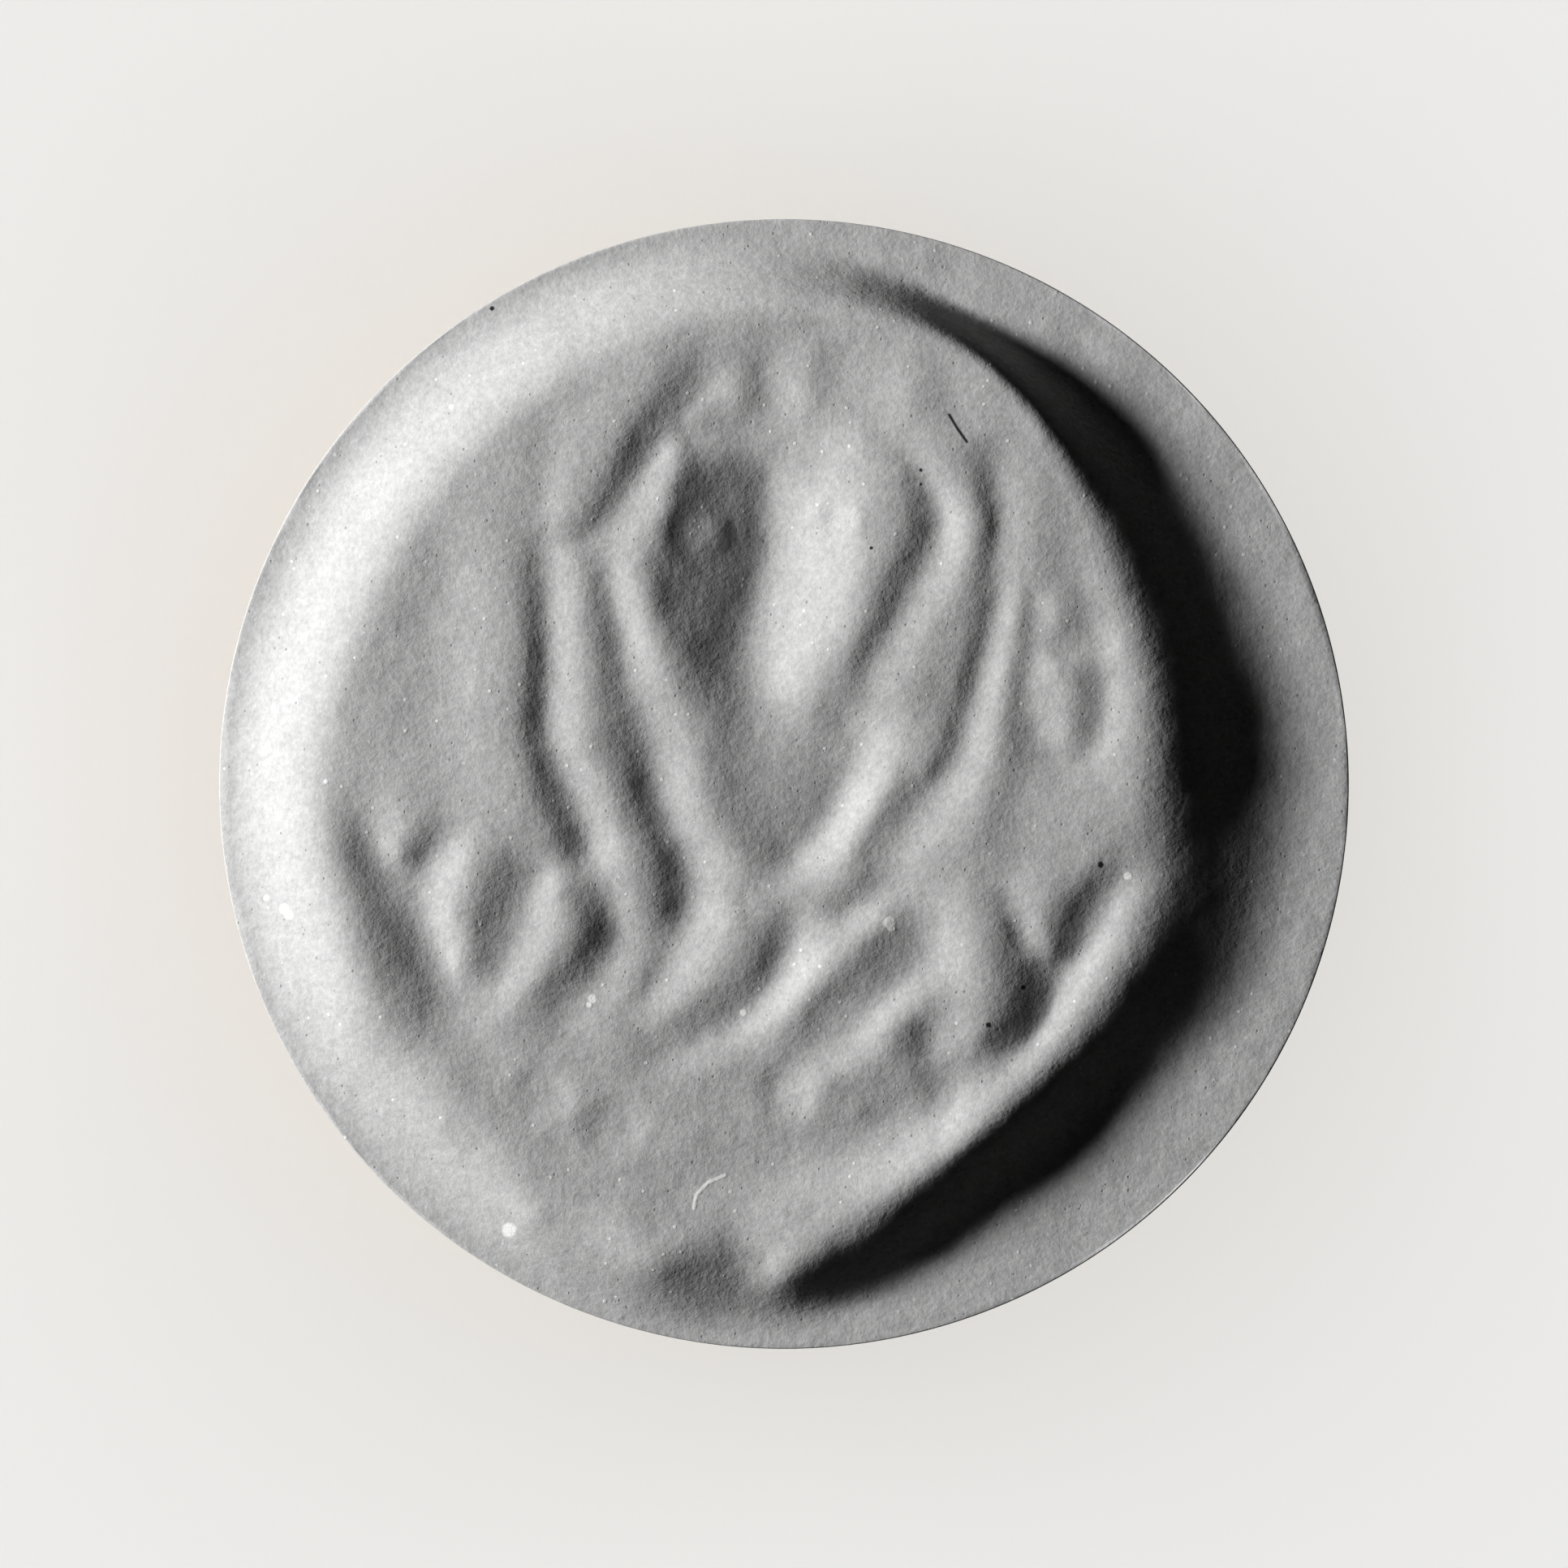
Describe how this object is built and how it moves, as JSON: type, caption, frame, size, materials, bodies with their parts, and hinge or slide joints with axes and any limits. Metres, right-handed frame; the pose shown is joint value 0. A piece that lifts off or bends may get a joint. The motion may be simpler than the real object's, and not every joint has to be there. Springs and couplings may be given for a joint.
{
  "type": "seal stamp",
  "caption": "Hand seal stamp with a carved round stone face in a brass cup, on a screw stud that turns out of a turned wooden handle.",
  "frame": {"origin": "centre of the foot pad's lower face, on the surface the stamp stands on", "axes": "+Z along the handle, out of the carved face; +Y to the top of the carved design and +X to its right"},
  "size_m": [0.024, 0.024, 0.0723],
  "materials": {
    "seal_stone": "fine-grained pale grey stone, matt, with pits and small bright flecks",
    "shellac": "glossy amber shellac cement",
    "brass": "turned brass, softly polished and a little tarnished",
    "steel": "plain turned steel",
    "handle_wood": "dark turned wood, oiled",
    "washer_fibre": "pressed red fibre",
    "cork": "ground cork"
  },
  "bodies": {
    "handle": {"handle": "handle_wood", "ferrule": "brass", "ferrule_pin_left": "brass", "ferrule_pin_right": "brass", "threaded_insert": "brass", "end_cap": "brass", "end_cap_screw": "steel", "foot_pad": "cork"},
    "washer": {"seat_washer": "washer_fibre"},
    "head": {"seal_matrix": "seal_stone", "cement_bed": "shellac", "head_cup": "brass", "threaded_stud": "steel", "stud_lock_pin": "steel"}
  },
  "joints": [
    {"name": "head_advance", "type": "slide", "parent": "handle", "child": "washer", "axis": [0, 0, 1], "range_m": [0, 0.009]},
    {"name": "head_turn", "type": "hinge", "parent": "washer", "child": "head", "pos_m": [0, 0, 0.0574], "axis": [0, 0, 1], "range_deg": [0, 2160]}
  ],
  "couplings": [
    {"joint": "head_advance", "follows": "head_turn", "m_per_rad": 0.00023873}
  ]
}
